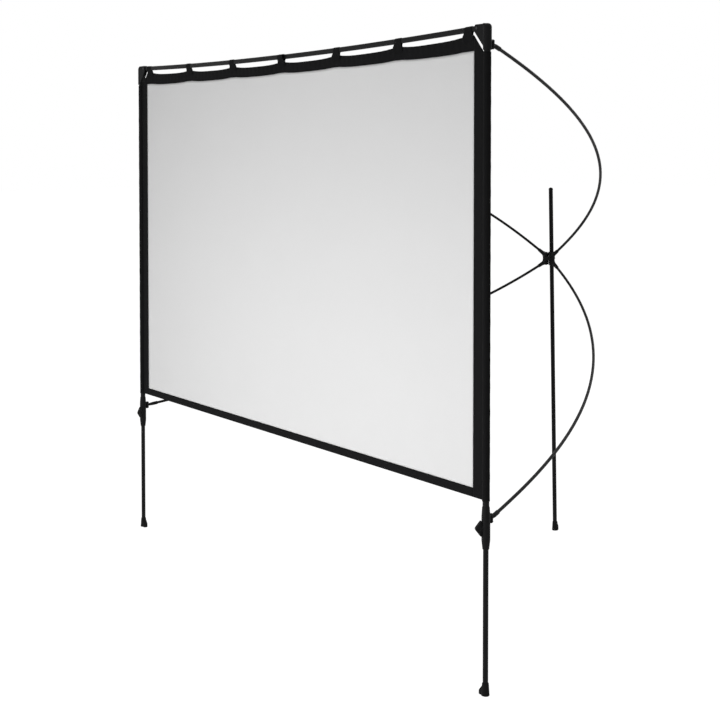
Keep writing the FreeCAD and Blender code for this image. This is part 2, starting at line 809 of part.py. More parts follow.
def screen_cloth():
    """White viewing area."""
    half = view_width / 2
    edges = [
        view_top_arc(),
        line(cloth_point(half, view_top), cloth_point(half, view_bottom)),
        line(cloth_point(half, view_bottom), cloth_point(-half, view_bottom)),
        line(cloth_point(-half, view_bottom), cloth_point(-half, view_top)),
    ]
    return cloth_panel(edges)


def tab_places():
    """Places of the tabs along the screen, from left to right."""
    return [step * tab_spacing for step in range(-tabs_per_side, tabs_per_side + 1)]


def top_border():
    """Black top hem, drawn up at the tabs and hanging in scallops between them."""
    half = view_width / 2
    points = []
    for x in tab_places():
        left = max(x - tab_width / 2, -half)
        right = min(x + tab_width / 2, half)
        points.append((cloth_point(left, hem_height(x)), cloth_point(right, hem_height(x))))
    edges = [view_top_arc(), line(cloth_point(-half, view_top), points[0][0])]
    for (start, end), following in zip(points, points[1:] + [None]):
        edges.append(line(start, end))
        if following:
            middle = (end + following[0]) * 0.5 - Z_AXIS * scallop_depth
            edges.append(arc(end, middle, following[0]))
    edges.append(line(points[-1][1], cloth_point(half, view_top)))
    return cloth_panel(edges)


def lower_border():
    """Black hem below the viewing area."""
    half = view_width / 2
    front = post_y - cloth_thickness / 2
    return block((-half, half), (front, front + cloth_thickness), (cloth_bottom, view_bottom))


def side_sleeve():
    """Black side border with the tunnel that the left post runs in, and its cut-off top corner."""
    inner = post_radius + sleeve_clearance
    outer = inner + cloth_thickness
    tunnel = upright(outer, -post_x, post_y, cloth_bottom, sleeve_top)
    post_room = upright(inner, -post_x, post_y, cloth_bottom - 1, sleeve_top + 1)
    edge = -view_width / 2 - cloth_gap
    first_tab = tab_places()[0]
    corner = hem_height(first_tab)
    start = -post_x + inner + cloth_thickness / 2
    points = [
        cloth_point(start, cloth_bottom),
        cloth_point(edge, cloth_bottom),
        cloth_point(edge, corner),
        cloth_point(-post_x + bracket_radius + cloth_thickness, sleeve_top),
        cloth_point(start, sleeve_top),
    ]
    flange = polygon(points).extrude(Y_AXIS * cloth_thickness)
    return tunnel.fuse(flange).cut(post_room).removeSplitter()


def round_bars(planes, z, gap, length):
    """Solid round the bars in the given planes, with a gap on all sides."""
    height = bar_height + 2 * gap
    along = X_AXIS * length
    ovals = [oval(height, bar_depth + 2 * gap, y, z).extrude(along) for y in planes]
    body = ovals[0]
    if len(planes) > 1:
        limits = (z - height / 2, z + height / 2)
        filling = block((0, length), (planes[0], planes[-1]), limits)
        body = body.fuse(ovals[1:] + [filling]).removeSplitter()
    body.translate(Vec(-length / 2, 0, 0))
    return body


def tab(x, planes):
    """Cloth loop round the bars in the given planes, with a flat tail down to the hem."""
    z = bar_height_at(x)
    outer = round_bars(planes, z, tab_clearance + cloth_thickness, tab_width)
    hole = round_bars(planes, z, tab_clearance, 2 * tab_width)
    lean = math.degrees(math.asin(-x / bar_radius))
    for shape in (outer, hole):
        shape.rotate(Vec(0, 0, z), Y_AXIS, lean)
    tail = block(
        (-tab_width / 2, tab_width / 2),
        (post_y - cloth_thickness / 2, post_y + cloth_thickness / 2),
        (hem_height(x) + cloth_gap, z),
    )
    loop = outer.fuse(tail).cut(hole).removeSplitter()
    loop.translate(Vec(x, 0, 0))
    return loop


def side_tabs(way, bar_y):
    """Tabs of one side, each a separate loop."""
    places = [x for x in tab_places() if x * way > tab_width]
    return Part.makeCompound([tab(x, [bar_y]) for x in places])


def mirrored(shape):
    """The same piece on the right side."""
    return shape.mirror(Vec(0, 0, 0), X_AXIS)


def side_pieces(bar_y, rods):
    """Pieces of the left side, by name, for a top bar in a given plane."""
    upper, lower = rods
    return {
        "post": post(),
        "top_bracket": top_bracket(bar_y),
        "bar_rivet": bar_rivet(bar_y),
        "half_bar": half_bar(bar_y),
        "bar_outer_end": bar_outer_end(bar_y),
        "bar_inner_end": bar_inner_end(bar_y),
        "leg_clamp": leg_clamp(),
        "clamp_knob": clamp_knob(),
        "clamp_stud": clamp_stud(),
        "leg_tube": leg(),
        "leg_bush": leg_bush(),
        "foot": leg_foot(),
        "rod_pins": Part.makeCompound([hinge_pin(upper_rod_height), hinge_pin(lower_rod_height)]),
        "upper_rod": upper.rod(),
        "lower_rod": lower.rod(),
        "upper_rod_end": upper.rod_end(),
        "lower_rod_end": lower.rod_end(),
        "hub_wing": hub_wing(rods),
        "hub_pin": hub_pin(),
        "side_sleeve": side_sleeve(),
    }


def all_pieces():
    """Every piece of the screen, by node name."""
    upper = BowedRod(upper_rod_height, socket_rise, upper_hub_pull, upper_eye_pull, upper_bow_lean)
    lower = BowedRod(lower_rod_height, -socket_rise, lower_hub_pull, lower_eye_pull, lower_bow_lean)
    rods = [upper, lower]
    left_bar_y = post_y - bar_offset
    right_bar_y = post_y + bar_offset
    pieces = {}
    for name, shape in side_pieces(left_bar_y, rods).items():
        pieces["left_" + name] = shape
    for name, shape in side_pieces(right_bar_y, rods).items():
        pieces["right_" + name] = mirrored(shape)
    pieces["left_tabs"] = side_tabs(-1, left_bar_y)
    pieces["right_tabs"] = side_tabs(1, right_bar_y)
    pieces["middle_tab"] = tab(0, [left_bar_y, right_bar_y])
    pieces["centre_rivet"] = centre_rivet(left_bar_y)
    pieces["screen_cloth"] = screen_cloth()
    pieces["top_border"] = top_border()
    pieces["bottom_border"] = lower_border()
    pieces["hub_body"] = hub_body()
    pieces["hub_screw"] = hub_screw()
    pieces["pole_bushes"] = pole_bushes()
    pieces["rear_pole"] = rear_pole()
    pieces["pole_cap"] = pole_cap()
    pieces["rear_foot"] = pole_foot()
    return pieces


os.makedirs("parts", exist_ok=True)
for node, solid in all_pieces().items():
    solid.exportStep("parts/" + node + ".step")
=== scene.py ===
"""Looks of a folding frame projection screen: cloth, stitching, finishes, light and camera."""
import json
import logging
import math
from dataclasses import dataclass
from enum import Enum
from typing import Callable, Iterable, Sequence

import bmesh
import bpy
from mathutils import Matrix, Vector


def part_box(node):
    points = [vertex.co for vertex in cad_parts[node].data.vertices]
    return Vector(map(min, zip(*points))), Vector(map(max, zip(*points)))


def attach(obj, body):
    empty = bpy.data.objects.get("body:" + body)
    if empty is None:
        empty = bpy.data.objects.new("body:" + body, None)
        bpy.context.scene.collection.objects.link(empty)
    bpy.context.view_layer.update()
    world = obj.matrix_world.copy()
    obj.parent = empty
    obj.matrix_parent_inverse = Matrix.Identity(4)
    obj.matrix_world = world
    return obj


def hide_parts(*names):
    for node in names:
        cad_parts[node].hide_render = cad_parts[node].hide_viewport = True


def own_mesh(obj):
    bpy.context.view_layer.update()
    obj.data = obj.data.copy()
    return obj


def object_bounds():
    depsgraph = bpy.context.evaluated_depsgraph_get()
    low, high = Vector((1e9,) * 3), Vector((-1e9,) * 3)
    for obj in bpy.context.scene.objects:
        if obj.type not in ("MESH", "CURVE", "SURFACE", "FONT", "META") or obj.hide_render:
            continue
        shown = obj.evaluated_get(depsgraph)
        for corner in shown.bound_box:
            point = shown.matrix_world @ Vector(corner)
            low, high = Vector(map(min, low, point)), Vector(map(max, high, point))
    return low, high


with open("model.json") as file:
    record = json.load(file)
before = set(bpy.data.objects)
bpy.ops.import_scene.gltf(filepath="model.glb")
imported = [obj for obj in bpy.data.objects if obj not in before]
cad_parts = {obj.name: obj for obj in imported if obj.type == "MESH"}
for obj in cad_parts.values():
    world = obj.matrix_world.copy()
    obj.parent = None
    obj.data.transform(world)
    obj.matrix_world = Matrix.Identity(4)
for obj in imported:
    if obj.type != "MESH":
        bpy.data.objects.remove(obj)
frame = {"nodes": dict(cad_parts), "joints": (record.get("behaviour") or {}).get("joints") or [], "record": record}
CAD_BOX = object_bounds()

LOG = logging.getLogger("projection_screen")
MM = 0.001

BUMP_DISTANCE = 0.3 * MM
FRONT = Vector((0, -1, 0))

Place = Callable[[float, float], tuple[Vector, Vector]]
Height = Callable[[float], float]
Run = list[Vector]


def ramp(value: float, start: float, end: float) -> float:
    """Share of the way that a value has gone from a start to an end.

    Args:
        value: The value.
        start: Where the share is 0.
        end: Where the share is 1.

    Returns:
        A share from 0 to 1.
    """
    return min(max((value - start) / (end - start), 0.0), 1.0)


def add_object(name: str, data: bpy.types.ID) -> bpy.types.Object:
    """Link a new object to the scene.

    Args:
        name: Name of the object.
        data: Its mesh, lamp or camera.

    Returns:
        The object.
    """
    made = bpy.data.objects.new(name, data)
    bpy.context.scene.collection.objects.link(made)
    return made


def aim(made: bpy.types.Object, place: Sequence[float], way: Vector) -> None:
    """Stand a lamp or camera somewhere and let it look one way.

    Args:
        made: The lamp or camera.
        place: Where it stands.
        way: Direction that it faces.
    """
    made.location = place
    made.rotation_mode = "QUATERNION"
    made.rotation_quaternion = way.to_track_quat("-Z", "Y")


class Slot(Enum):
    """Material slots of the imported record."""

    TUBE = "black_tube"
    MOULDING = "black_moulding"
    ROD = "black_rod"
    STEEL = "dark_steel"
    BLACK_CLOTH = "black_cloth"
    WHITE_CLOTH = "white_cloth"
    RUBBER = "black_rubber"


class Side(Enum):
    """The two sides of the screen, with the way that each lies along X."""

    LEFT = -1
    RIGHT = 1

    @property
    def word(self) -> str:
        """Name of the side in node names."""
        return self.name.lower()


class Hold(Enum):
    """How a sheet of cloth is held."""

    STRETCHED = "stretched"
    HUNG = "hung"


class Graph:
    """Short way to add and join the nodes of one node tree."""

    def __init__(self, tree: bpy.types.NodeTree) -> None:
        """Keep the tree that the nodes go into.

        Args:
            tree: Shader or geometry node tree.
        """
        self.tree = tree

    def add(self, kind: str, **settings: object) -> bpy.types.Node:
        """Add one node.

        Args:
            kind: Blender's name of the node type.
            settings: Properties to set on the node.

        Returns:
            The new node.
        """
        node = self.tree.nodes.new(kind)
        for name, value in settings.items():
            setattr(node, name, value)
        return node

    def feed(self, socket: bpy.types.NodeSocket, value: object) -> None:
        """Link a socket to another one, or set its value.

        Args:
            socket: Input socket.
            value: Output socket, number, colour or vector.
        """
        if isinstance(value, bpy.types.NodeSocket):
            self.tree.links.new(value, socket)
        else:
            socket.default_value = value

    def math(self, operation: str, *values: object) -> bpy.types.NodeSocket:
        """Add a Math node.

        Args:
            operation: Name of the operation.
            values: Its inputs, sockets or numbers.

        Returns:
            The result socket.
        """
        node = self.add("ShaderNodeMath", operation=operation)
        for socket, value in zip(node.inputs, values):
            self.feed(socket, value)
        return node.outputs[0]

    def noise(self, vector: object, scale: object, detail: float) -> bpy.types.NodeSocket:
        """Add a noise texture.

        Args:
            vector: Coordinates.
            scale: Size of the noise, as repeats per metre.
            detail: Number of finer layers.

        Returns:
            The socket of its value.
        """
        node = self.add("ShaderNodeTexNoise")
        self.feed(node.inputs["Vector"], vector)
        self.feed(node.inputs["Scale"], scale)
        node.inputs["Detail"].default_value = detail
        return node.outputs[0]

    def blend(self, share: object, first: object, second: object) -> bpy.types.NodeSocket:
        """Mix two colours.

        Args:
            share: Part of the second colour.
            first: Colour at a share of 0.
            second: Colour at a share of 1.

        Returns:
            The mixed colour.
        """
        node = self.add("ShaderNodeMix", data_type="RGBA")
        self.feed(node.inputs[0], share)
        self.feed(node.inputs[6], first)
        self.feed(node.inputs[7], second)
        return node.outputs[2]


def node_group(name: str, kind: str, inputs: dict[str, str], outputs: dict[str, str]) -> tuple:
    """Make an empty node group.

    Args:
        name: Name of the group.
        kind: Blender's name of the kind of tree.
        inputs: Socket type of each named input.
        outputs: Socket type of each named output.

    Returns:
        The group, its graph, its input node and its output node.
    """
    tree = bpy.data.node_groups.new(name, kind)
    for way, sockets in (("INPUT", inputs), ("OUTPUT", outputs)):
        for word, socket in sockets.items():
            tree.interface.new_socket(name=word, in_out=way, socket_type=socket)
    graph = Graph(tree)
    return tree, graph, graph.add("NodeGroupInput"), graph.add("NodeGroupOutput")


def weave_group() -> bpy.types.NodeTree:
    """Plain weave: crossing threads that pass over and under each other.

    Returns:
        Shader group with the height and tone of the threads.
    """
    inputs = {"Vector": "NodeSocketVector", "Thread": "NodeSocketFloat", "Slub": "NodeSocketFloat"}
    outputs = {"Height": "NodeSocketFloat", "Tone": "NodeSocketFloat"}
    tree, graph, entry, exit_node = node_group("plain_weave", "ShaderNodeTree", inputs, outputs)
    split = graph.add("ShaderNodeSeparateXYZ")
    graph.feed(split.inputs[0], entry.outputs["Vector"])
    turns = graph.math("DIVIDE", math.pi, entry.outputs["Thread"])
    warp = graph.math("SINE", graph.math("MULTIPLY", split.outputs[0], turns))
    weft = graph.math("SINE", graph.math("MULTIPLY", split.outputs[2], turns))
    over = graph.math("MULTIPLY", warp, weft)
    slub = graph.noise(entry.outputs["Vector"], scale=160.0, detail=3.0)
    rough = graph.math("MULTIPLY", slub, entry.outputs["Slub"])
    thread_relief = 0.5
    height = graph.math("ADD", graph.math("MULTIPLY", over, thread_relief), rough)
    cloud = graph.noise(entry.outputs["Vector"], scale=5.0, detail=4.0)
    slub_share, cloud_share = 0.4, 0.6
    clouds = graph.math("MULTIPLY", cloud, cloud_share)
    graph.feed(exit_node.inputs["Height"], height)
    graph.feed(exit_node.inputs["Tone"], graph.math("MULTIPLY_ADD", slub, slub_share, clouds))
    return tree


def grain_group() -> bpy.types.NodeTree:
    """Fine moulded or painted grain with patches of handling wear.

    Returns:
        Shader group with the height of the grain and the mask of the wear.
    """
    inputs = {"Vector": "NodeSocketVector", "Grain": "NodeSocketFloat", "Patches": "NodeSocketFloat"}
    outputs = {"Height": "NodeSocketFloat", "Wear": "NodeSocketFloat"}
    tree, graph, entry, exit_node = node_group("fine_grain", "ShaderNodeTree", inputs, outputs)
    fine = graph.noise(entry.outputs["Vector"], entry.outputs["Grain"], detail=3.0)
    patch = graph.noise(entry.outputs["Vector"], entry.outputs["Patches"], detail=5.0)
    unworn, contrast = 0.42, 3.0
    wear = graph.math("MULTIPLY", graph.math("SUBTRACT", patch, unworn), contrast)
    clamp = graph.add("ShaderNodeClamp")
    graph.feed(clamp.inputs[0], wear)
    graph.feed(exit_node.inputs["Height"], fine)
    graph.feed(exit_node.inputs["Wear"], clamp.outputs[0])
    return tree


@dataclass(frozen=True)
class Finish:
    """Surface of one kind of piece, with two tones, two gloss levels and a bump.

    Args:
        slot: Slot of the record.
        tones: Colours where it is plain and where it is worn or slubbed.
        roughness: Roughness at the same two places.
        bump: Strength of the bump.
        grain: Repeats of the grain in a metre, or the thread of a weave.
        patches: Repeats of the wear in a metre, or the slubs' share of a weave's height.
        specular: Level of the reflections.
        sheen: Weight of the soft edge glow of cloth.
        woven: Whether it is cloth.
    """

    slot: Slot
    tones: tuple[tuple[float, float, float], tuple[float, float, float]]
    roughness: tuple[float, float]
    bump: float
    grain: float
    patches: float
    specular: float
    sheen: float = 0.0
    woven: bool = False

    def material(self, groups: dict[str, bpy.types.NodeTree]) -> bpy.types.Material:
        """Make the material.

        Args:
            groups: The shared shader groups, by name.

        Returns:
            The finished material.
        """
        made = bpy.data.materials.new(self.slot.value + "_finish")
        made.use_nodes = True
        graph = Graph(made.node_tree)
        shader = next(n for n in made.node_tree.nodes if n.type == "BSDF_PRINCIPLED")
        place = graph.add("ShaderNodeTexCoord").outputs["Object"]
        group = graph.add("ShaderNodeGroup")
        group.node_tree = groups["weave" if self.woven else "grain"]
        graph.feed(group.inputs["Vector"], place)
        group.inputs[1].default_value = self.grain
        group.inputs[2].default_value = self.patches
        mask = group.outputs[1]
        plain, worn = self.tones
        graph.feed(shader.inputs["Base Color"], graph.blend(mask, (*plain, 1), (*worn, 1)))
        low, high = self.roughness
        graph.feed(shader.inputs["Roughness"], graph.math("MULTIPLY_ADD", mask, high - low, low))
        bump = graph.add("ShaderNodeBump")
        bump.inputs["Strength"].default_value = self.bump
        bump.inputs["Distance"].default_value = BUMP_DISTANCE
        graph.feed(bump.inputs["Height"], group.outputs[0])
        graph.feed(shader.inputs["Normal"], bump.outputs[0])
        shader.inputs["Sheen Weight"].default_value = self.sheen
        shader.inputs["Specular IOR Level"].default_value = self.specular
        return made


FINISHES = (
    Finish(
        Slot.TUBE, ((0.0052, 0.0052, 0.0055), (0.0088, 0.0088, 0.0092)), (0.42, 0.56),
        bump=0.05, grain=900, patches=9, specular=0.09,
    ),
    Finish(
        Slot.MOULDING, ((0.005, 0.005, 0.0053), (0.0085, 0.0085, 0.009)), (0.56, 0.7),
        bump=0.22, grain=1500, patches=22, specular=0.09,
    ),
    Finish(
        Slot.ROD, ((0.0052, 0.0052, 0.0053), (0.0088, 0.0088, 0.0092)), (0.46, 0.6),
        bump=0.1, grain=1200, patches=7, specular=0.08,
    ),
    Finish(
        Slot.STEEL, ((0.014, 0.014, 0.0155), (0.030, 0.030, 0.032)), (0.36, 0.5),
        bump=0.05, grain=1800, patches=60, specular=0.25,
    ),
    Finish(
        Slot.RUBBER, ((0.005, 0.005, 0.005), (0.0105, 0.0103, 0.0102)), (0.74, 0.88),
        bump=0.3, grain=700, patches=30, specular=0.1,
    ),
    Finish(
        Slot.BLACK_CLOTH, ((0.0062, 0.0062, 0.0065), (0.0105, 0.0105, 0.011)), (0.88, 0.96),
        bump=0.35, grain=0.7 * MM, patches=0.5, specular=0.06, sheen=0.015, woven=True,
    ),
    Finish(
        Slot.WHITE_CLOTH, ((0.80, 0.80, 0.80), (0.825, 0.825, 0.825)), (0.9, 0.96),
        bump=0.12, grain=0.6 * MM, patches=0.25, specular=0.1, woven=True,
    ),
)


@dataclass(frozen=True)
class Waves:
    """Depths and lengths of the waves in the hanging cloth, in metres."""

    swag_depth: float = 2.2 * MM
    swag_fade: float = 0.09
    pucker_depth: float = 0.7 * MM
    pucker_step: float = 0.029
    pucker_fade: float = 0.022
    crease_depth: float = 1.6 * MM
    crease_slant: float = 0.8
    crease_width: float = 0.05
    crease_fade: float = 0.35
    slow_depth: float = 0.15 * MM
    edge_reach: float = 0.02


@dataclass(frozen=True)
class Layout:
    """Places that the cloth and its trim take from the frame, in metres."""

    post_x: float
    post_y: float
    view_half: float
    view_low: float
    view_high: float
    cloth_low: float
    sleeve_high: float
    pivot_x: float
    pivot_z: float
    bar_mid_z: float
    bar_half_height: float
    bar_half_depth: float
    bar_offset: float
    post_radius: float
    tab_spacing: float = 0.34933
    tab_width: float = 0.044
    tabs_per_side: int = 3
    hem_drop: float = 0.011
    scallop: float = 0.0065
    view_sag: float = 0.0085
    view_swag: float = 0.0045
    sleeve_drop: float = 0.086
    corner_start: float = 0.0145
    tunnel_gap: float = 0.9 * MM
    waves: Waves = Waves()

    @classmethod
    def from_frame(cls) -> "Layout":
        """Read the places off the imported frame.

        Returns:
            The layout.
        """
        post_low, post_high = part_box("right_post")
        view_low, view_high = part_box("screen_cloth")
        border_low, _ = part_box("bottom_border")
        bar_low, bar_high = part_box("left_bar_inner_end")
        joint = next(j for j in frame["joints"] if j["name"] == "left_bar_swing")
        post = (Vector(post_low) + Vector(post_high)) / 2
        bar = (Vector(bar_low) + Vector(bar_high)) / 2
        return cls(
            post_x=post.x,
            post_y=post.y,
            view_half=view_high[0],
            view_low=view_low[2],
            view_high=view_high[2],
            cloth_low=border_low[2],
            sleeve_high=CAD_BOX[1][2] - cls.sleeve_drop,
            pivot_x=-joint["pos_m"][0],
            pivot_z=joint["pos_m"][2],
            bar_mid_z=bar.z,
            bar_half_height=(bar_high[2] - bar_low[2]) / 2,
            bar_half_depth=(bar_high[1] - bar_low[1]) / 2,
            bar_offset=post.y - bar.y,
            post_radius=(post_high[0] - post_low[0]) / 2,
        )

    @property
    def view_inset(self) -> float:
        """Distance from a post's axis to the edge of the viewing cloth."""
        return self.post_x - self.view_half

    @property
    def tunnel_radius(self) -> float:
        """Radius of the cloth tunnel round a post."""
        return self.post_radius + self.tunnel_gap

    def bar_z(self, x: float) -> float:
        """Height of the top bar's centre line at a place along the screen."""
        sag = self.pivot_z - self.bar_mid_z
        return self.bar_mid_z + sag * (x / self.pivot_x) ** 2

    def tabs(self) -> list[float]:
        """Places of the tabs along the screen, from left to right."""
        count = self.tabs_per_side
        return [step * self.tab_spacing for step in range(-count, count + 1)]

    def swag(self, x: float) -> float:
        """How far the cloth hangs between two tabs: 0 at a tab and 1 half way."""
        step = abs(x) / self.tab_spacing
        across = min(abs(step - round(step)), 0.5) if step < self.tabs_per_side else 0.0
        flat = self.tab_width / 2 / self.tab_spacing
        return 1 - (1 - ramp(across, flat, 0.5)) ** 3

    def view_top(self, x: float) -> float:
        """Height of the edge between the white cloth and the top hem."""
        arc = self.view_high - self.view_sag * (1 - (x / self.view_half) ** 2)
        return arc - self.view_swag * self.swag(x)

    def hem_top(self, x: float) -> float:
        """Height of the scalloped top edge of the hem."""
        return self.bar_z(x) - self.bar_half_height - self.hem_drop - self.scallop * self.swag(x)

    def corner_top(self, inset: float) -> float:
        """Height of the cut-off top corner of a side border, at a distance inside the post."""
        corner = self.hem_top(self.tabs_per_side * self.tab_spacing)
        share = ramp(inset, self.corner_start, self.view_inset)
        return self.sleeve_high + (corner - self.sleeve_high) * share

    def drape(self, x: float, z: float) -> float:
        """How far the hanging cloth stands behind its plane: swags at the top, creases at the corners."""
        size = self.waves
        below = max(0.0, self.hem_top(x) - z)
        swag = math.cos(2 * math.pi * x / self.tab_spacing) * math.exp(-below / size.swag_fade)
        pucker = math.cos(2 * math.pi * x / size.pucker_step) * math.exp(-below / size.pucker_fade)
        reach = self.view_half - abs(x)
        drop = self.view_high - z
        crease = math.exp(-((reach - size.crease_slant * drop) / size.crease_width) ** 2)
        crease *= math.exp(-(reach + drop) / size.crease_fade)
        slow = math.sin(5.1 * x + 1.3 * z) * math.sin(2.3 * z + 0.4)
        depth = size.swag_depth * swag + size.pucker_depth * pucker
        depth += size.slow_depth * slow - size.crease_depth * crease
        return depth * ramp(reach, 0.0, size.edge_reach)


LAYOUT = Layout.from_frame()


def plain_piece(name: str, points: Sequence[Vector], faces: Iterable[Sequence[int]]) -> bpy.types.Object:
    """Make a smooth-shaded mesh object at the origin.

    Args:
        name: Name of the piece.
        points: Its corners.
        faces: Corner numbers of each face.

    Returns:
        The object, linked to the scene.
    """
    mesh = bpy.data.meshes.new(name)
    mesh.from_pydata([tuple(p) for p in points], [], list(faces))
    mesh.validate()
    mesh.shade_smooth()
    return add_object(name, mesh)


@dataclass
class ClothSheet:
    """One cut of cloth, built as a closed slab on a grid.

    Args:
        name: Name of the piece.
        place: Point and outward normal at shares from 0 to 1 across and up the sheet.
        columns: Grid steps across.
        rows: Grid steps up.
        thickness: Thickness of the cloth.
        ring: Whether the sheet closes on itself across.
    """

    name: str
    place: Place
    columns: int
    rows: int
    thickness: float
    ring: bool = False

    def build(self) -> bpy.types.Object:
        """Make the mesh, with its front faces first, then its back faces, then its edges.

        Returns:
            The piece.
        """
        wide = self.columns if self.ring else self.columns + 1
        grid = [
            self.place(c / self.columns, r / self.rows)
            for r in range(self.rows + 1)
            for c in range(wide)
        ]
        half = self.thickness / 2
        points = [p + n * half for p, n in grid] + [p - n * half for p, n in grid]
        back = len(grid)
        faces = []
        for r in range(self.rows):
            for c in range(self.columns):
                a, b = r * wide + c, r * wide + (c + 1) % wide
                faces.append((a, b, b + wide, a + wide))
        faces += [tuple(back + i for i in reversed(face)) for face in faces]
        faces += self._rim(wide, back)
        return plain_piece(self.name, points, faces)

    def _rim(self, wide: int, back: int) -> list[tuple[int, ...]]:
        """Close the edges of the slab.

        Args:
            wide: Points in each row.
            back: Number of the first point of the back.

        Returns:
            The faces of the rim.
        """
        top = self.rows * wide
        rim = []
        for c in range(self.columns):
            a, b = c, (c + 1) % wide
            rim.append((b, a, back + a, back + b))
            rim.append((top + a, top + b, back + top + b, back + top + a))
        if not self.ring:
            for r in range(self.rows):
                a, b = r * wide, (r + 1) * wide
                rim.append((a, b, back + b, back + a))
                rim.append((b + wide - 1, a + wide - 1, back + a + wide - 1, back + b + wide - 1))
        return rim


@dataclass(frozen=True)
class Lamp:
    """Soft lamp that faces the middle of the screen at some height.

    Args:
        name: Name of the lamp.
        place: Where it stands.
        target_height: Height of the point that it faces.
        size: Its width and height.
        watts: Its power.
    """

    name: str
    place: tuple[float, float, float]
    target_height: float
    size: tuple[float, float]
    watts: float

    def build(self) -> None:
        """Add the lamp to the scene."""
        data = bpy.data.lights.new(self.name, "AREA")
        data.shape = "RECTANGLE"
        data.size, data.size_y = self.size
        data.energy = self.watts
        target = Vector((0, LAYOUT.post_y, self.target_height))
        aim(add_object(self.name, data), self.place, target - Vector(self.place))


LAMPS = (
    Lamp("front_lamp", (0.36, -2.9, 0.82), 0.95, (3.8, 0.6), 42),
    Lamp("back_lamp", (-2.2, 5.0, 2.6), 1.2, (3.0, 2.6), 95),
    Lamp("top_lamp", (0.6, -0.4, 5.2), 1.2, (3.0, 3.0), 30),
)


@dataclass
class Stage:
    """Floor, light and the camera of the photograph."""

    azimuth: float = math.radians(53.529)
    pitch: float = math.radians(-1.817)
    place: tuple[float, float, float] = (4.0489, LAYOUT.post_y - 2.6299, 1.6376)
    lens: float = 64.667
    sensor: float = 36.0
    shift: float = -0.2214
    plain_light: float = 0.24
    floor_reach: float = 60.0
    floor_tone: float = 0.9
    floor_glow: float = 1.22
    glow_share: float = 0.8

    def camera(self) -> None:
        """Place the camera at the photograph's viewing angle."""
        data = bpy.data.cameras.new("camera")
        data.lens = self.lens
        data.sensor_width = self.sensor
        data.shift_y = self.shift
        level = math.cos(self.pitch)
        way = Vector((-math.sin(self.azimuth) * level, math.cos(self.azimuth) * level, math.sin(self.pitch)))
        made = add_object("camera", data)
        aim(made, self.place, way)
        bpy.context.scene.camera = made

    def world(self) -> None:
        """White surroundings for the camera and for reflections, with a lower level of plain light."""
        made = bpy.data.worlds.new("studio")
        made.use_nodes = True
        graph = Graph(made.node_tree)
        background = next(n for n in made.node_tree.nodes if n.type == "BACKGROUND")
        background.inputs["Color"].default_value = (1, 1, 1, 1)
        graph.feed(background.inputs["Strength"], graph.math("MAXIMUM", seen(graph), self.plain_light))
        bpy.context.scene.world = made

    def floor(self) -> None:
        """Pale floor that shows white but keeps a soft shadow."""
        corners = ((-1, -1), (1, -1), (1, 1), (-1, 1))
        points = [Vector((x, y, 0)) * self.floor_reach for x, y in corners]
        made = plain_piece("floor", points, [(0, 1, 2, 3)])
        paint = bpy.data.materials.new("pale_floor")
        paint.use_nodes = True
        tree = paint.node_tree
        graph = Graph(tree)
        tree.nodes.clear()
        exit_node = graph.add("ShaderNodeOutputMaterial")
        matt = graph.add("ShaderNodeBsdfDiffuse")
        matt.inputs["Color"].default_value = (self.floor_tone, self.floor_tone, self.floor_tone, 1)
        glow = graph.add("ShaderNodeEmission")
        glow.inputs["Strength"].default_value = self.floor_glow
        mix = graph.add("ShaderNodeMixShader")
        graph.feed(mix.inputs[0], graph.math("MULTIPLY", seen(graph), self.glow_share))
        graph.feed(mix.inputs[1], matt.outputs[0])
        graph.feed(mix.inputs[2], glow.outputs[0])
        graph.feed(exit_node.inputs["Surface"], mix.outputs[0])
        made.data.materials.append(paint)

    def build(self) -> None:
        """Set up the whole stage."""
        bpy.context.scene.view_settings.view_transform = "Standard"
        self.camera()
        self.world()
        self.floor()
        for lamp in LAMPS:
            lamp.build()


def seen(graph: Graph) -> bpy.types.NodeSocket:
    """Mask of the rays that the camera, gloss and glass send out.

    Args:
        graph: Graph of the world or of a stage material.

    Returns:
        1 for such rays and 0 for plain light.
    """
    path = graph.add("ShaderNodeLightPath")
    gloss = graph.math("MAXIMUM", path.outputs["Is Camera Ray"], path.outputs["Is Glossy Ray"])
    return graph.math("MAXIMUM", gloss, path.outputs["Is Transmission Ray"])


class Wardrobe:
    """The finished materials, by slot."""

    def __init__(self) -> None:
        """Make every finish once."""
        groups = {"weave": weave_group(), "grain": grain_group()}
        self.by_slot = {f.slot: f.material(groups) for f in FINISHES}

    def dress(self, piece: bpy.types.Object, slot: Slot) -> None:
        """Give a new piece the finish of its slot.

        Args:
            piece: The piece.
            slot: Slot of the record.
        """
        piece.data.materials.clear()
        piece.data.materials.append(self.by_slot[slot])

    def dress_frame(self) -> None:
        """Give every node of the frame the finish of its slot."""
        for row in frame["record"]["subparts"]:
            node = frame["nodes"][row["node"]]
            material = self.by_slot[Slot(row["material_slot"])]
            if not node.data.materials:
                node.data.materials.append(material)
            for index in range(len(node.data.materials)):
                node.data.materials[index] = material


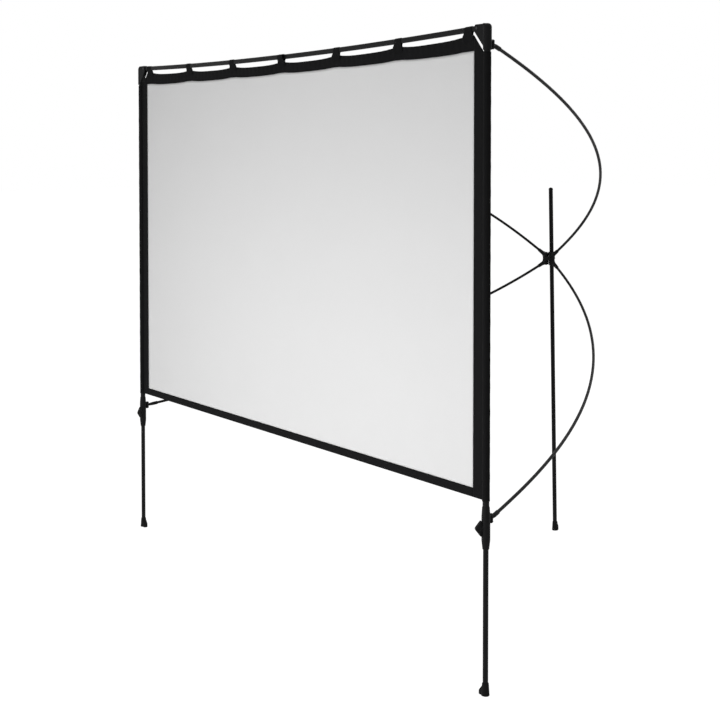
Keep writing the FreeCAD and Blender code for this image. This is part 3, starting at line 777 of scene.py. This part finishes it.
@dataclass
class HangingCloth:
    """White viewing cloth with its top and bottom hems and side borders."""

    wardrobe: Wardrobe
    cloth: float = 0.8 * MM
    hem: float = 1.6 * MM
    top_hem_height: float = 0.055
    top_hem_mean_height: float = 0.045
    ripple_depth: float = 0.5 * MM
    gather_depth: float = 0.35 * MM
    fine_gather_depth: float = 0.2 * MM
    closed_share: float = 0.0532
    closed_edge: float = 12.2 * MM

    def finish(self, piece: bpy.types.Object, slot: Slot, nodes: Sequence[str]) -> None:
        """Dress a piece of the hanging cloth and let it ride on the left post as the frame folds.

        Args:
            piece: The piece.
            slot: Slot of its finish.
            nodes: Nodes that it stands for.
        """
        self.wardrobe.dress(piece, slot)
        if nodes:
            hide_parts(*nodes)
        self.gather(piece)
        LOG.info("hung %s", piece.name)

    def gather(self, piece: bpy.types.Object) -> None:
        """Let a piece ride on the left post as the frame folds.

        Args:
            piece: The piece.
        """
        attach(piece, "left_post")
        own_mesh(piece)

    def ripple(self, across: float, z: float) -> float:
        """How far a side border stands behind its plane."""
        return self.ripple_depth * math.sin(31 * z) * math.sin(math.pi * across)

    def hung(
        self, name: str, low: Height, high: Height, grid: tuple[int, int], thickness: float
    ) -> bpy.types.Object:
        """Make a piece that is as wide as the viewing cloth and drapes with it.

        Args:
            name: Name of the piece.
            low: Height of its lower edge along the screen.
            high: Height of its upper edge along the screen.
            grid: Grid steps across and up.
            thickness: Thickness of the cloth.

        Returns:
            The piece.
        """

        def place(across: float, up: float) -> tuple[Vector, Vector]:
            """Point of the piece."""
            x = (2 * across - 1) * LAYOUT.view_half
            z = low(x) + up * (high(x) - low(x))
            return Vector((x, LAYOUT.post_y + LAYOUT.drape(x, z), z)), FRONT

        return ClothSheet(name, place, *grid, thickness).build()

    def view(self) -> None:
        """White viewing cloth."""
        low = LAYOUT.view_low
        piece = self.hung("viewing_cloth", lambda x: low, LAYOUT.view_top, (240, 140), self.cloth)
        self.finish(piece, Slot.WHITE_CLOTH, ["screen_cloth"])

    def top_hem(self) -> None:
        """Scalloped black hem above the viewing cloth."""
        piece = self.hung("top_hem", LAYOUT.view_top, LAYOUT.hem_top, (720, 14), self.hem)
        self.finish(piece, Slot.BLACK_CLOTH, ["top_border"])

    def bottom_hem(self) -> None:
        """Straight black hem below the viewing cloth."""
        low, high = LAYOUT.cloth_low, LAYOUT.view_low
        piece = self.hung("bottom_hem", lambda x: low, lambda x: high, (240, 6), self.hem)
        self.finish(piece, Slot.BLACK_CLOTH, ["bottom_border"])

    def side_border(self, side: Side) -> None:
        """Flat black border between the viewing cloth and the post's tunnel.

        Args:
            side: Side of the screen.
        """
        inner, outer = LAYOUT.view_inset, LAYOUT.tunnel_radius

        def place(across: float, up: float) -> tuple[Vector, Vector]:
            """Point of the side border."""
            inset = outer + across * (inner - outer)
            z = LAYOUT.cloth_low + up * (LAYOUT.corner_top(inset) - LAYOUT.cloth_low)
            x = side.value * (LAYOUT.post_x - inset)
            return Vector((x, LAYOUT.post_y + self.ripple(across, z), z)), FRONT

        name = side.word + "_side_border"
        piece = ClothSheet(name, place, columns=16, rows=200, thickness=self.hem).build()
        normal_out(piece)
        self.finish(piece, Slot.BLACK_CLOTH, [])
        size = (inner - outer, LAYOUT.corner_top(inner) - LAYOUT.cloth_low)

    def tunnel(self, side: Side) -> None:
        """Cloth tunnel that the post runs in.

        Args:
            side: Side of the screen.
        """
        radius = LAYOUT.tunnel_radius
        height = LAYOUT.sleeve_high - LAYOUT.cloth_low

        def place(across: float, up: float) -> tuple[Vector, Vector]:
            """Point of the tunnel."""
            angle = 2 * math.pi * across
            z = LAYOUT.cloth_low + up * height
            gather = self.gather_depth * math.sin(47 * z + 2 * math.sin(angle))
            gather += self.fine_gather_depth * math.sin(113 * z + angle)
            out = Vector((math.cos(angle), math.sin(angle), 0))
            centre = Vector((side.value * LAYOUT.post_x, LAYOUT.post_y, z))
            return centre + out * (radius + abs(gather)), out

        name = side.word + "_tunnel"
        piece = ClothSheet(name, place, columns=40, rows=240, thickness=self.cloth, ring=True).build()
        self.wardrobe.dress(piece, Slot.BLACK_CLOTH)
        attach(piece, side.word + "_post")
        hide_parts(side.word + "_side_sleeve")
        LOG.info("hung %s", piece.name)

    def build(self) -> None:
        """Make every piece of the hanging cloth."""
        self.view()
        self.top_hem()
        self.bottom_hem()
        for side in Side:
            self.side_border(side)
            self.tunnel(side)


def bake(piece: bpy.types.Object) -> None:
    """Turn a piece with modifiers into a plain mesh.

    Args:
        piece: The piece.
    """
    graph = bpy.context.evaluated_depsgraph_get()
    mesh = bpy.data.meshes.new_from_object(piece.evaluated_get(graph), depsgraph=graph)
    piece.modifiers.clear()
    piece.data = mesh


def normal_out(piece: bpy.types.Object) -> None:
    """Turn the faces of a closed piece outwards.

    Args:
        piece: The piece.
    """
    work = bmesh.new()
    work.from_mesh(piece.data)
    bmesh.ops.recalc_face_normals(work, faces=work.faces)
    work.to_mesh(piece.data)
    work.free()


@dataclass
class HangingTabs:
    """Straps that loop over the top bar and are sewn to the hem."""

    wardrobe: Wardrobe
    cloth: float = 1.2 * MM
    foot: float = 1.56 * MM
    overlap: float = 16 * MM
    tuck: float = 2 * MM
    seat: float = 4 * MM
    slack: float = 0.9 * MM
    wrap: float = 0.12
    allowance: float = 6 * MM
    neck: float = 0.78
    flare: float = 0.42
    steps: int = 8
    loop_steps: int = 12
    closed_share: float = 0.07

    def strap(self, x: float, middle: float, half_depth: float) -> tuple[Run, list[tuple[int, ...]]]:
        """Points and faces of one strap.

        Args:
            x: Place along the screen.
            middle: Y of the middle of the bars that it goes round.
            half_depth: Half of their depth.

        Returns:
            Points and faces.
        """
        z = LAYOUT.bar_z(x)
        hem = LAYOUT.hem_top(x)
        path = self.path(middle, half_depth, z, hem)
        slope = 2 * (LAYOUT.pivot_z - LAYOUT.bar_mid_z) * x / LAYOUT.pivot_x ** 2
        points = []
        for y, height in path:
            width = LAYOUT.tab_width * (self.neck + self.flare * ramp(height, z, hem) ** 2)
            for step in range(self.steps + 1):
                along = (step / self.steps - 0.5) * width
                points.append(Vector((x + along, y, height + along * slope)))
        wide = self.steps + 1
        faces = []
        for r in range(len(path) - 1):
            for c in range(self.steps):
                a = r * wide + c
                faces.append((a, a + 1, a + 1 + wide, a + wide))
        return points, faces

    def path(self, middle: float, half_depth: float, z: float, hem: float) -> list[tuple[float, float]]:
        """Side view of a strap, from its front end up round the bar and down to its back end.

        Args:
            middle: Y of the middle of the bars.
            half_depth: Half of their depth.
            z: Height of the bar.
            hem: Height of the hem's top edge.

        Returns:
            Points as Y and Z.
        """
        reach = half_depth + self.slack
        rise = LAYOUT.bar_half_height + self.slack

        def limb(way: int) -> list[tuple[float, float]]:
            """Points from the end up to the bar, in front of it (-1) or behind it (1)."""
            foot = LAYOUT.post_y + way * self.foot
            lean = middle + way * reach - foot
            points = [(foot, hem + step) for step in (-self.overlap, -self.tuck, self.seat)]
            return points + [(foot + lean * s, hem + self.seat + (z - rise - hem) * s) for s in (0.35, 0.75)]

        loop = []
        for step in range(self.loop_steps + 1):
            angle = math.pi * (1 + self.wrap - (1 + 2 * self.wrap) * step / self.loop_steps)
            loop.append((middle + reach * math.cos(angle), z + rise * math.sin(angle)))
        return limb(-1) + loop + limb(1)[::-1]

    def group(
        self, name: str, places: Sequence[float], middle: float, half_depth: float
    ) -> bpy.types.Object:
        """Make the straps of one bar as one piece.

        Args:
            name: Name of the piece.
            places: Places along the screen.
            middle: Y of the middle of the bars.
            half_depth: Half of their depth.

        Returns:
            The piece.
        """
        points: list[Vector] = []
        faces: list[tuple[int, ...]] = []
        for x in places:
            more, cells = self.strap(x, middle, half_depth)
            faces += [tuple(i + len(points) for i in cell) for cell in cells]
            points += more
        piece = plain_piece(name, points, faces)
        thick = piece.modifiers.new("thickness", "SOLIDIFY")
        thick.thickness = self.cloth
        thick.offset = 0
        soft = piece.modifiers.new("softness", "SUBSURF")
        soft.levels = soft.render_levels = 1
        bake(piece)
        return piece

    def by_body(self) -> dict[str, list[float]]:
        """Places of the tabs along the screen, by the body that carries them."""
        places = LAYOUT.tabs()
        return {"left_bar": [x for x in places if x <= 0], "right_bar": [x for x in places if x > 0]}

    def gather(self, piece: bpy.types.Object, body: str) -> None:
        """Let a piece ride on its bar as the frame folds.

        Args:
            piece: Tabs or their stitches.
            body: Body of the bar.
        """
        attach(piece, body)
        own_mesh(piece)

    def build(self) -> None:
        """Make the tabs of both bars and the middle tab."""
        for side in Side:
            places = [x for x in LAYOUT.tabs() if x * side.value > LAYOUT.tab_width]
            middle = LAYOUT.post_y + side.value * LAYOUT.bar_offset
            piece = self.group(side.word + "_tabs_cloth", places, middle, LAYOUT.bar_half_depth)
            self.finish(piece, side.word + "_tabs", side.word + "_bar", len(places))
        both_bars = LAYOUT.bar_half_depth + LAYOUT.bar_offset
        piece = self.group("middle_tab_cloth", [0.0], LAYOUT.post_y, both_bars)
        self.finish(piece, "middle_tab", "left_bar", 1)

    def finish(self, piece: bpy.types.Object, node: str, body: str, count: int) -> None:
        """Dress a group of tabs.

        Args:
            piece: The piece.
            node: Node that it stands for.
            body: Body that it rides on.
            count: Number of straps in it.
        """
        self.wardrobe.dress(piece, Slot.BLACK_CLOTH)
        self.gather(piece, body)
        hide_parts(node)
        LOG.info("hung %s, straps: %d", piece.name, count)


def stitch_group() -> bpy.types.NodeTree:
    """Rows of stitches along the lines of a wire mesh.

    Returns:
        Geometry group with the pitch, length and thread of the stitches and their material.
    """
    inputs = {
        "Geometry": "NodeSocketGeometry", "Pitch": "NodeSocketFloat", "Length": "NodeSocketFloat",
        "Thread": "NodeSocketFloat", "Material": "NodeSocketMaterial",
    }
    outputs = {"Geometry": "NodeSocketGeometry"}
    tree, graph, entry, exit_node = node_group("stitch_rows", "GeometryNodeTree", inputs, outputs)
    curve = graph.add("GeometryNodeMeshToCurve")
    graph.feed(curve.inputs["Mesh"], entry.outputs["Geometry"])
    even = graph.add("GeometryNodeResampleCurve", mode="LENGTH")
    graph.feed(even.inputs["Curve"], curve.outputs["Curve"])
    graph.feed(even.inputs["Length"], entry.outputs["Pitch"])
    turn = graph.add("FunctionNodeAlignRotationToVector", axis="Z")
    graph.feed(turn.inputs["Vector"], graph.add("GeometryNodeInputTangent").outputs[0])
    thread = graph.add("GeometryNodeMeshUVSphere")
    thread.inputs["Segments"].default_value = 6
    thread.inputs["Rings"].default_value = 3
    thread.inputs["Radius"].default_value = 1.0
    size = graph.add("ShaderNodeCombineXYZ")
    graph.feed(size.inputs[0], entry.outputs["Thread"])
    graph.feed(size.inputs[1], entry.outputs["Thread"])
    graph.feed(size.inputs[2], graph.math("MULTIPLY", entry.outputs["Length"], 0.5))
    stamp = graph.add("GeometryNodeInstanceOnPoints")
    graph.feed(stamp.inputs["Points"], even.outputs["Curve"])
    graph.feed(stamp.inputs["Instance"], thread.outputs["Mesh"])
    graph.feed(stamp.inputs["Rotation"], turn.outputs["Rotation"])
    graph.feed(stamp.inputs["Scale"], size.outputs[0])
    real = graph.add("GeometryNodeRealizeInstances")
    graph.feed(real.inputs[0], stamp.outputs[0])
    smooth = graph.add("GeometryNodeSetShadeSmooth")
    graph.feed(smooth.inputs[0], real.outputs[0])
    paint = graph.add("GeometryNodeSetMaterial")
    graph.feed(paint.inputs["Geometry"], smooth.outputs[0])
    graph.feed(paint.inputs["Material"], entry.outputs["Material"])
    graph.feed(exit_node.inputs["Geometry"], paint.outputs[0])
    return tree


@dataclass
class Stitching:
    """Rows of thread on the hems, borders and tabs, laid by one geometry node group."""

    wardrobe: Wardrobe
    group: bpy.types.NodeTree
    pitch: float = 4.8 * MM
    tab_pitch: float = 2.8 * MM
    length: float = 3.5 * MM
    thread: float = 0.33 * MM
    lift: float = 0.15 * MM
    end_margin: float = 2 * MM
    above_view: float = 5 * MM
    below_scallops: float = 4 * MM
    below_view: float = 4.5 * MM
    above_edge: float = 3.5 * MM
    beside_view: float = 5 * MM
    beside_tunnel: float = 6 * MM
    below_corner: float = 4 * MM
    margin: float = 3 * MM
    tab_box_share: float = 0.4
    hem_steps: int = 360
    border_steps: int = 280

    def rows(self, name: str, runs: Sequence[Run], pitch: float) -> bpy.types.Object:
        """Sew along some lines.

        Args:
            name: Name of the piece.
            runs: Points of each line.
            pitch: Distance from stitch to stitch.

        Returns:
            The stitches as one plain mesh.
        """
        points: list[Vector] = []
        edges: list[tuple[int, int]] = []
        for run in runs:
            start = len(points)
            points += run
            edges += [(start + i, start + i + 1) for i in range(len(run) - 1)]
        mesh = bpy.data.meshes.new(name)
        mesh.from_pydata([tuple(p) for p in points], edges, [])
        piece = add_object(name, mesh)
        sewing = piece.modifiers.new("stitches", "NODES")
        sewing.node_group = self.group
        items = self.group.interface.items_tree
        sockets = {item.name: item.identifier for item in items if item.in_out == "INPUT"}
        sewing[sockets["Pitch"]] = pitch
        sewing[sockets["Length"]] = self.length * pitch / self.pitch
        sewing[sockets["Thread"]] = self.thread
        sewing[sockets["Material"]] = self.wardrobe.by_slot[Slot.BLACK_CLOTH]
        bake(piece)
        self.wardrobe.dress(piece, Slot.BLACK_CLOTH)
        LOG.info("sewed %s, lines: %d", name, len(runs))
        return piece

    def hem_runs(self, behind: float) -> list[Run]:
        """Lines along the top and bottom hems.

        Args:
            behind: How far they lie behind the middle of the cloth.

        Returns:
            The points of each line.
        """
        heights = (
            lambda x: LAYOUT.view_top(x) + self.above_view,
            lambda x: LAYOUT.hem_top(x) - self.below_scallops,
            lambda x: LAYOUT.view_low - self.below_view,
            lambda x: LAYOUT.cloth_low + self.above_edge,
        )
        half = LAYOUT.view_half - self.end_margin
        runs = []
        for height in heights:
            run = []
            for step in range(self.hem_steps + 1):
                x = -half + 2 * half * step / self.hem_steps
                z = height(x)
                run.append(Vector((x, LAYOUT.post_y + LAYOUT.drape(x, z) + behind, z)))
            runs.append(run)
        return runs

    def border_runs(self, cloth: HangingCloth, behind: float) -> list[Run]:
        """Lines up the side borders.

        Args:
            cloth: The hanging cloth.
            behind: How far they lie behind the middle of the cloth.

        Returns:
            The points of each line.
        """
        inner, outer = LAYOUT.view_inset, LAYOUT.tunnel_radius
        runs = []
        for side in Side:
            for inset in (inner - self.beside_view, outer + self.beside_tunnel):
                high = LAYOUT.corner_top(inset) - self.below_corner
                low = LAYOUT.cloth_low + self.margin
                x = side.value * (LAYOUT.post_x - inset)
                across = (inset - outer) / (inner - outer)
                run = []
                for step in range(self.border_steps + 1):
                    z = low + (high - low) * step / self.border_steps
                    run.append(Vector((x, LAYOUT.post_y + cloth.ripple(across, z) + behind, z)))
                runs.append(run)
        return runs

    def on_cloth(self, cloth: HangingCloth) -> None:
        """Sew the hems and borders of the hanging cloth, on its front and its back.

        Args:
            cloth: The hanging cloth.
        """
        for face, word in ((-1, "front"), (1, "back")):
            behind = face * (cloth.hem / 2 + self.lift)
            cloth.gather(self.rows("hem_stitches_" + word, self.hem_runs(behind), self.pitch))
            runs = self.border_runs(cloth, behind)
            cloth.gather(self.rows("border_stitches_" + word, runs, self.pitch))

    def on_tabs(self, tabs: HangingTabs) -> None:
        """Sew each tab to the hem with a crossed box.

        Args:
            tabs: The tabs.
        """
        wide = self.tab_box_share * LAYOUT.tab_width
        for body, places in tabs.by_body().items():
            runs = []
            for x in places:
                high = LAYOUT.hem_top(x) - self.margin
                low = LAYOUT.hem_top(x) - tabs.overlap + self.margin
                for way in (-1, 1):
                    y = LAYOUT.post_y + way * (tabs.foot + tabs.cloth / 2 + self.lift)
                    a, b = Vector((x - wide, y, low)), Vector((x + wide, y, low))
                    c, d = Vector((x + wide, y, high)), Vector((x - wide, y, high))
                    runs += [[a, b, c, d, a], [a, c], [b, d]]
            tabs.gather(self.rows(body + "_tab_stitches", runs, self.tab_pitch), body)


@dataclass(frozen=True)
class Moulding:
    """How finely a kind of moulded node is remade with soft edges."""

    words: str
    slot: Slot
    voxel: float
    rounds: int


MOULDINGS = (
    Moulding("top_bracket", Slot.MOULDING, 0.75 * MM, 5),
    Moulding("leg_clamp", Slot.MOULDING, 0.6 * MM, 6),
    Moulding("clamp_knob", Slot.MOULDING, 0.5 * MM, 10),
    Moulding("hub_wing", Slot.MOULDING, 0.6 * MM, 8),
    Moulding("hub_body", Slot.MOULDING, 0.6 * MM, 5),
    Moulding("foot", Slot.RUBBER, 0.7 * MM, 16),
    Moulding("pole_cap", Slot.MOULDING, 0.5 * MM, 4),
    Moulding("rod_end", Slot.MOULDING, 0.45 * MM, 5),
    Moulding("bar_rivet", Slot.STEEL, 0.25 * MM, 8),
)


@dataclass
class SoftMouldings:
    """Moulded pieces with the small fillets of a real mould."""

    wardrobe: Wardrobe
    merge: float = 0.001 * MM
    rim_width: float = 13 * MM
    rim_rounds: int = 40
    knuckle_swell: float = 1.1 * MM
    foot_height: float = 0.84
    crown_radius: float = 12 * MM
    bracket_wall: float = 3 * MM

    def build(self) -> None:
        """Remake every moulded node."""
        bodies = frame["record"]["behaviour"]["bodies"]
        for body, nodes in bodies.items():
            for node in nodes:
                kind = next((m for m in MOULDINGS if node.endswith(m.words)), None)
                if kind:
                    self.soften(node, kind, body)

    def soften(self, node: str, kind: Moulding, body: str) -> None:
        """Remake one node with soft edges.

        Args:
            node: Name of the node.
            kind: How finely it is remade.
            body: Body that it rides on.
        """
        source = frame["nodes"][node]
        work = bmesh.new()
        work.from_mesh(source.data)
        work.transform(source.matrix_world)
        bmesh.ops.remove_doubles(work, verts=work.verts, dist=self.merge)
        mesh = bpy.data.meshes.new(node + "_soft")
        work.to_mesh(mesh)
        work.free()
        piece = add_object(node + "_soft", mesh)
        remade = piece.modifiers.new("remake", "REMESH")
        remade.mode = "VOXEL"
        remade.voxel_size = kind.voxel
        remade.use_smooth_shade = True
        smooth = piece.modifiers.new("smooth", "SMOOTH")
        smooth.iterations = kind.rounds
        bake(piece)
        if node.endswith("top_bracket"):
            self.crown(piece, node)
        if node.endswith("hub_wing"):
            self.round_rims(piece)
            self.swell(piece, body)
        if node.endswith("foot"):
            self.settle(piece)
        self.wardrobe.dress(piece, kind.slot)
        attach(piece, body)
        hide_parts(node)
        LOG.info("softened %s, faces: %d", node, len(piece.data.polygons))

    def round_rims(self, piece: bpy.types.Object) -> None:
        """Smooth the rims of a hub wing's two sockets, which are its outermost points.

        Args:
            piece: The remade wing.
        """
        points = piece.data.vertices
        middle = sum(p.co.z for p in points) / len(points)
        rims = piece.vertex_groups.new(name="rims")
        for way in (-1, 1):
            half = [p for p in points if (p.co.z - middle) * way > 0]
            reach = max(abs(p.co.x) for p in half) - self.rim_width
            rims.add([p.index for p in half if abs(p.co.x) > reach], 1.0, "REPLACE")
        smooth = piece.modifiers.new("rims", "SMOOTH")
        smooth.vertex_group = rims.name
        smooth.iterations = self.rim_rounds
        bake(piece)

    def swell(self, piece: bpy.types.Object, body: str) -> None:
        """Fill out the knuckles of a hub wing round its pin.

        Args:
            piece: The remade wing.
            body: Body that turns about the pin.
        """
        pin = Vector(next(j for j in frame["joints"] if j["child"] == body)["pos_m"])
        for point in piece.data.vertices:
            out = (point.co - pin).to_2d()
            reach = out.length
            outside_bore = ramp(reach, 4 * MM, 6 * MM)
            inside_web = ramp(reach, 12 * MM, 9 * MM)
            beside_gap = ramp(abs(point.co.z - pin.z), 8 * MM, 10 * MM)
            share = outside_bore * inside_web * beside_gap
            if share:
                point.co += (out / reach * self.knuckle_swell * share).to_3d()

    def settle(self, piece: bpy.types.Object) -> None:
        """Make a foot lower above its sole.

        Args:
            piece: The remade foot.
        """
        for point in piece.data.vertices:
            point.co.z *= self.foot_height

    def crown(self, piece: bpy.types.Object, node: str) -> None:
        """Round the outer rim of a corner bracket's top.

        Args:
            piece: The remade bracket.
            node: Name of its node.
        """
        side = next(s for s in Side if node.startswith(s.word))
        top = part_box(node)[1][2]
        soft = self.crown_radius
        core = LAYOUT.post_radius + self.bracket_wall - soft
        for point in piece.data.vertices:
            out = Vector((side.value * point.co.x - LAYOUT.post_x, point.co.y - LAYOUT.post_y))
            reach = out.length
            arm = Vector((reach - core, point.co.z - top + soft))
            if arm.x <= 0 or arm.y <= 0 or arm.length <= soft:
                continue
            outer_side = ramp(out.x / reach, -0.4, 0.1)
            arm = arm.lerp(arm * soft / arm.length, outer_side)
            out *= (core + arm.x) / reach
            point.co = (side.value * (out.x + LAYOUT.post_x), out.y + LAYOUT.post_y, arm.y + top - soft)


def main() -> None:
    """Build the screen's looks in order."""
    logging.basicConfig(level=logging.INFO)
    wardrobe = Wardrobe()
    wardrobe.dress_frame()
    SoftMouldings(wardrobe).build()
    tabs = HangingTabs(wardrobe)
    tabs.build()
    cloth = HangingCloth(wardrobe)
    cloth.build()
    stitching = Stitching(wardrobe, stitch_group())
    stitching.on_cloth(cloth)
    stitching.on_tabs(tabs)
    Stage().build()


if __name__ == "__main__":
    main()
